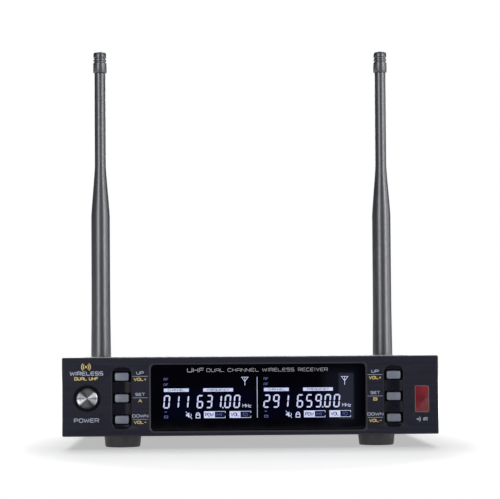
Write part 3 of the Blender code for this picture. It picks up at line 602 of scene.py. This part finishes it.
class Print:
    """Flat shapes that stand an ink's thickness proud of a face, all joined in one piece."""

    def __init__(self, name, face_y, turned=False):
        self.name = name
        self.face_y = face_y
        self.turned = turned
        self.shape = bmesh.new()

    def strip(self, left, right, closed=False):
        """A slab between two lines of (x, z) points."""
        out = INK if self.turned else -INK
        depths = (self.face_y + out, self.face_y - out)
        rows = [[self.shape.verts.new((x, y, z)) for x, z in line] for y in depths for line in (left, right)]
        front_left, front_right, back_left, back_right = rows
        ring = (front_left, front_right, back_right, back_left)
        count = len(left)
        for index in range(count if closed else count - 1):
            after = (index + 1) % count
            for first, second in zip(ring, ring[1:] + ring[:1]):
                self.shape.faces.new((first[index], first[after], second[after], second[index]))
        if not closed:
            for index in (0, count - 1):
                self.shape.faces.new([row[index] for row in ring])

    def ribbon(self, points, width):
        """A line of even width through (x, z) points, with mitred corners. It can end where it starts."""
        points = [Vector(point) for point in points]
        closed = (points[0] - points[-1]).length < SAME_PLACE
        if closed:
            points.pop()
        count = len(points)
        left, right = [], []
        for index, point in enumerate(points):
            before = points[index - 1] if closed or index else point
            after = points[(index + 1) % count] if closed or index < count - 1 else point
            into = (point - before).normalized()
            out = (after - point).normalized()
            if not into.length:
                into = out
            if not out.length:
                out = into
            normal = Vector((-into.y - out.y, into.x + out.x)).normalized()
            reach = width / 2 / max(normal.dot(Vector((-into.y, into.x))), MITRE_LIMIT)
            left.append(point + normal * reach)
            right.append(point - normal * reach)
        self.strip(left, right, closed)

    def bar(self, x, z, width, height):
        """A rectangle about a centre."""
        self.ribbon([(x - width / 2, z), (x + width / 2, z)], height)

    def arc(self, x, z, radius, width, start, end, steps):
        """A band along a circle, between two angles in degrees."""
        angles = [math.radians(start + (end - start) * step / steps) for step in range(steps + 1)]
        self.ribbon([(x + radius * math.cos(turn), z + radius * math.sin(turn)) for turn in angles], width)

    def disc(self, x, z, radius):
        """A filled circle, a little blunt at its top and bottom so that no two corners meet."""
        steps = 8
        blunt = 0.02
        turns = [math.pi * (step / steps - 0.5) for step in range(1, steps)]
        turns = [-math.pi / 2 + blunt] + turns + [math.pi / 2 - blunt]
        lines = []
        for side in (-1, 1):
            reach = side * radius
            lines.append([(x + reach * math.cos(turn), z + radius * math.sin(turn)) for turn in turns])
        self.strip(*lines)

    def frame(self, x, z, width, height, line):
        """A hollow rectangle."""
        w, h = (width - line) / 2, (height - line) / 2
        corners = [(x - w, z + h), (x + w, z + h), (x + w, z - h), (x - w, z - h)]
        self.ribbon([(x - w, z), *corners, (x - w, z)], line)

    def rounded(self, x, z, width, height, line, radius):
        """A hollow rectangle with round corners."""
        points = []
        for right, up, start in ((1, 1, 0), (-1, 1, 90), (-1, -1, 180), (1, -1, 270)):
            corner = (x + right * ((width - line) / 2 - radius), z + up * ((height - line) / 2 - radius))
            for step in range(5):
                turn = math.radians(start + 22.5 * step)
                points.append((corner[0] + radius * math.cos(turn), corner[1] + radius * math.sin(turn)))
        self.ribbon(points + points[:1], line)

    def words(self, text, x, z, height, width, line):
        """Capitals of this height, spread over a width about a centre, in strokes this wide."""
        gap = 0.30
        spread = sum(GLYPH_WIDTHS.get(letter, 1.0) for letter in text) + gap * (len(text) - 1)
        scale = (width - line) / spread
        tall = height - line
        forward = -1 if self.turned else 1
        cursor = x - forward * (width - line) / 2
        for letter in text:
            wide = GLYPH_WIDTHS.get(letter, 1.0) * scale
            for stroke in GLYPHS.get(letter, []):
                places = [(cursor + forward * px * wide, z + (pz - 0.5) * tall) for px, pz in stroke]
                self.ribbon(places, line)
            cursor += forward * (wide + gap * scale)

    def finish(self, paints, slot, paint=None):
        bmesh.ops.recalc_face_normals(self.shape, faces=self.shape.faces)
        mesh = bpy.data.meshes.new(self.name)
        self.shape.to_mesh(mesh)
        self.shape.free()
        item = bpy.data.objects.new(self.name, mesh)
        bpy.context.scene.collection.objects.link(item)
        mesh.materials.append(paints[paint or slot].material)
        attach(item, "case")


def keypad_labels(white, gold):
    """Beside each button: what it does, a rule, and below it a second word or the channel's letter."""
    shift = {"a": 10.3 * MM, "b": -10.5 * MM}
    letter = {"a": "a", "b": "B"}
    for side in SIDES:
        rows = {
            "up": ("UP", 4.2, "VOL+", 7.2),
            "set": ("SET", 5.4, letter[side], 2.3),
            "down": ("DOWN", 9.0, "VOL-", 7.2),
        }
        for button, (first, first_width, second, second_width) in rows.items():
            centre = middle(f"button_{button}_{side}")
            x = centre.x + shift[side]
            white.words(first, x, centre.z + 2.1 * MM, 1.7 * MM, first_width * MM, 0.30 * MM)
            white.bar(x, centre.z + 0.2 * MM, 8.6 * MM, 0.20 * MM)
            gold.words(second, x, centre.z - 1.5 * MM, 1.8 * MM, second_width * MM, 0.36 * MM)


def radio_mark(ink, x, z, size):
    """A plain mark: a dot with two waves to each side."""
    ink.disc(x, z, 0.11 * size)
    for ring in (0.28, 0.46):
        for side in (0, 180):
            ink.arc(x, z, ring * size, 0.085 * size, side - 50, side + 50, 8)


def make_front_print(paints):
    white = Print("front_print_white", FACE_Y)
    gold = Print("front_print_gold", FACE_Y)
    power = middle("power_bezel")
    radio_mark(gold, power.x - 0.6 * MM, power.z + 17.7 * MM, 5.4 * MM)
    white.words("WIRELESS", power.x - 0.3 * MM, power.z + 14.0 * MM, 2.3 * MM, 18.8 * MM, 0.42 * MM)
    gold.words("DUAL UHF", power.x - 0.4 * MM, power.z + 11.1 * MM, 1.9 * MM, 13.4 * MM, 0.40 * MM)
    white.words("POWER", power.x - 0.4 * MM, power.z - 12.3 * MM, 2.3 * MM, 14.0 * MM, 0.36 * MM)
    keypad_labels(white, gold)
    lens = middle("ir_window")
    x = lens.x - 1.8 * MM
    z = lens.z - 11.4 * MM
    white.disc(x - 0.9 * MM, z, 0.4 * MM)
    for radius in (0.9, 1.7):
        white.arc(x - 0.9 * MM, z, radius * MM, 0.35 * MM, -50, 50, 6)
    white.words("IR", x + 3.6 * MM, z, 2.0 * MM, 2.6 * MM, 0.40 * MM)
    white.finish(paints, "panel_print")
    gold.finish(paints, "gold_print")
    # Painted highlight: a thin pale frame round the infrared lens stands in for the light that its rounded
    # edge catches.
    rim = Print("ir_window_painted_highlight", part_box("ir_window")[0].y)
    rim.rounded(lens.x, lens.z, 8.1 * MM, 15.1 * MM, 0.40 * MM, 1.0 * MM)
    rim.finish(paints, "panel_print", "painted_rim_highlight")


SEGMENTS = {
    "0": "abcdef",
    "1": "bc",
    "2": "abged",
    "3": "abgcd",
    "4": "fgbc",
    "5": "afgcd",
    "6": "afgedc",
    "7": "abc",
    "8": "abcdefg",
    "9": "abcdfg",
}
SLANT = math.tan(math.radians(5))


def digit(ink, figure, left, bottom, width, height):
    """A seven-segment figure, leaning to the right."""
    thick = height * 0.108
    inner = thick / 2
    gap = thick * 0.13
    near, far = inner, width - inner
    low, half, high = inner, height / 2, height - inner

    def segment(start, end):
        """A bar with pointed ends between two corners of the figure."""
        start, end = Vector(start), Vector(end)
        along = (end - start).normalized()
        across = Vector((-along.y, along.x)) * inner
        tips = [start + along * gap, start + along * (gap + inner)]
        tips += [end - along * (gap + inner), end - along * gap]
        sides = []
        for reach in (1, -1):
            line = [tips[0] + across * 0.05 * reach, tips[1] + across * reach]
            line += [tips[2] + across * reach, tips[3] + across * 0.05 * reach]
            sides.append([(left + x + SLANT * z, bottom + z) for x, z in line])
        ink.strip(*sides)

    places = {
        "a": ((near, high), (far, high)),
        "b": ((far, half), (far, high)),
        "c": ((far, low), (far, half)),
        "d": ((near, low), (far, low)),
        "e": ((near, low), (near, half)),
        "f": ((near, half), (near, high)),
        "g": ((near, half), (far, half)),
    }
    for name in SEGMENTS[figure]:
        segment(*places[name])


def speaker_icon(ink, x, z, size):
    """A loudspeaker with a stroke through it."""
    s = size / 2
    ink.bar(x - 0.62 * s, z, 0.4 * s, 0.5 * s)
    near = [(x - 0.4 * s, z - 0.3 * s), (x - 0.4 * s, z + 0.3 * s)]
    far = [(x + 0.1 * s, z - 0.8 * s), (x + 0.1 * s, z + 0.8 * s)]
    ink.strip(near, far)
    ink.arc(x + 0.15 * s, z, 0.55 * s, 0.14 * s, -50, 50, 6)
    ink.ribbon([(x - 0.85 * s, z + s), (x + 0.85 * s, z - s)], 0.16 * s)


def padlock_icon(ink, x, z, size):
    ink.frame(x, z - 0.18 * size, 0.74 * size, 0.58 * size, 0.13 * size)
    ink.arc(x, z + 0.12 * size, 0.26 * size, 0.13 * size, 0, 180, 8)


def mast_icon(ink, x, z, size):
    """An antenna mast: a funnel on a stem."""
    s = size / 2
    line = 0.13 * s
    ink.ribbon([(x, z - s), (x, z + s)], line)
    point = (x, z - 0.05 * s)
    ink.ribbon([point, (x - 0.78 * s, z + 0.93 * s), (x + 0.78 * s, z + 0.93 * s), point], line)


def level_box(ink, dim, dark, back, x, z, name, value):
    """A box whose filled half holds a name in dark letters, and whose other half holds a value."""
    width, height, line = 12.2 * MM, 3.8 * MM, 0.26 * MM
    half = width / 2 - line
    ink.bar(x - width / 4, z, width / 2, height)
    dark.words(name, x - width / 4, z, 2.1 * MM, 4.9 * MM, 0.36 * MM)
    edge = height / 2 - line / 2
    for up in (1, -1):
        ink.ribbon([(x, z + up * edge), (x + half, z + up * edge), (x + half, z + up * height / 5)], line)
    back.bar(x + width / 4 - 0.2 * MM, z, width / 2 - 0.9 * MM, height - 2.4 * line)
    dim.words(value, x + width / 4 - 0.5 * MM, z, 1.9 * MM, 3.0 * MM, 0.24 * MM)


def channel_figures(ink, dim, dark, back, left, channel, frequency):
    """One channel's half of the display."""
    base = WINDOW.z
    dim.words("RF", left + 1.4 * MM, base + 10.4 * MM, 1.5 * MM, 2.7 * MM, 0.20 * MM)
    dim.words("AF", left + 1.4 * MM, base + 7.4 * MM, 1.5 * MM, 2.7 * MM, 0.20 * MM)
    for x, width, text in ((7.2, 14.0, "CHANNEL"), (30.7, 16.8, "FREQUENCY")):
        ink.bar(left + x * MM, base + 4.3 * MM, width * MM, 1.85 * MM)
        dark.words(text, left + x * MM, base + 4.3 * MM, 1.15 * MM, (width - 4.5) * MM, 0.20 * MM)
    for index, figure in enumerate(channel):
        digit(ink, figure, left + (-0.35 + 5.3 * index) * MM, base - 6.0 * MM, 3.6 * MM, 7.5 * MM)
    for index, figure in enumerate(frequency):
        digit(ink, figure, left + (18.4 + 5.18 * index) * MM, base - 6.0 * MM, 3.6 * MM, 7.5 * MM)
    ink.disc(left + 33.3 * MM, base - 5.7 * MM, 0.4 * MM)
    ink.words("MHz", left + 46.8 * MM, base - 4.7 * MM, 2.0 * MM, 5.0 * MM, 0.26 * MM)
    dim.bar(left + 1.2 * MM, base - 7.9 * MM, 1.3 * MM, 0.4 * MM)
    dim.frame(left + 1.4 * MM, base - 10.7 * MM, 2.2 * MM, 1.4 * MM, 0.32 * MM)
    speaker_icon(ink, left + 14.2 * MM, base - 9.8 * MM, 4.0 * MM)
    padlock_icon(ink, left + 19.3 * MM, base - 9.9 * MM, 3.6 * MM)
    level_box(ink, dim, dark, back, left + 28.8 * MM, base - 9.6 * MM, "POW", "HI")
    level_box(ink, dim, dark, back, left + 43.2 * MM, base - 9.6 * MM, "VOL", "10")
    mast_icon(ink, left + 45.8 * MM, base + 9.1 * MM, 4.8 * MM)


def make_display(paints):
    lit = Print("display_figures", WINDOW_Y)
    dim = Print("display_small_figures", WINDOW_Y - INK)
    back = Print("display_value_boxes", WINDOW_Y)
    dark = Print("display_bar_words", WINDOW_Y - INK)
    head = Print("window_heading", WINDOW_Y)
    first = WINDOW.x - 53.4 * MM
    pitch = 56.3 * MM
    channel_figures(lit, dim, dark, back, first, "011", "63100")
    channel_figures(lit, dim, dark, back, first + pitch, "291", "65900")
    lit.bar(WINDOW.x - 0.7 * MM, WINDOW.z, 0.28 * MM, 23.0 * MM)
    head.words("UHF", WINDOW.x - 35.3 * MM, WINDOW.z + 15.5 * MM, 2.5 * MM, 9.6 * MM, 0.36 * MM)
    head.words("DUAL CHANNEL", WINDOW.x - 14.4 * MM, WINDOW.z + 15.4 * MM, 2.0 * MM, 29.6 * MM, 0.26 * MM)
    head.words("WIRELESS", WINDOW.x + 11.3 * MM, WINDOW.z + 15.4 * MM, 2.0 * MM, 18.1 * MM, 0.26 * MM)
    head.words("RECEIVER", WINDOW.x + 30.8 * MM, WINDOW.z + 15.4 * MM, 2.0 * MM, 16.8 * MM, 0.26 * MM)
    lit.finish(paints, "lit_figures")
    dim.finish(paints, "lit_figures", "dim_figures")
    back.finish(paints, "lit_figures", "value_box")
    dark.finish(paints, "lcd_glass")
    head.finish(paints, "panel_print", "window_print")


def rear_words(ink, text, low, high, above, width):
    """Words of this width in millimetres, this far above the box between two corners."""
    ink.words(text, (low.x + high.x) / 2, high.z + above * MM, 1.9 * MM, width * MM, 0.30 * MM)


def make_rear_print(paints):
    ink = Print("rear_print", REAR_Y, turned=True)
    for side in SIDES:
        low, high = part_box("xlr_output_" + side)
        rear_words(ink, "OUT " + side.upper(), low, high, 2.4, 9.0)
        low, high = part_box("bnc_nut_" + side)
        rear_words(ink, "ANT " + side.upper(), low, high, 5.0, 9.0)
    for node, text, width in (("mix_jack_nut", "MIX OUT", 13.0), ("dc_inlet", "DC 12V", 11.0)):
        low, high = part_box(node)
        rear_words(ink, text, low, high, 4.4, width)
    ink.finish(paints, "panel_print")


make_camera()
make_world()
make_lights(make_floor())
PAINTS = paint_frame()
make_front_print(PAINTS)
make_display(PAINTS)
make_rear_print(PAINTS)
bpy.context.scene.view_settings.view_transform = "Standard"
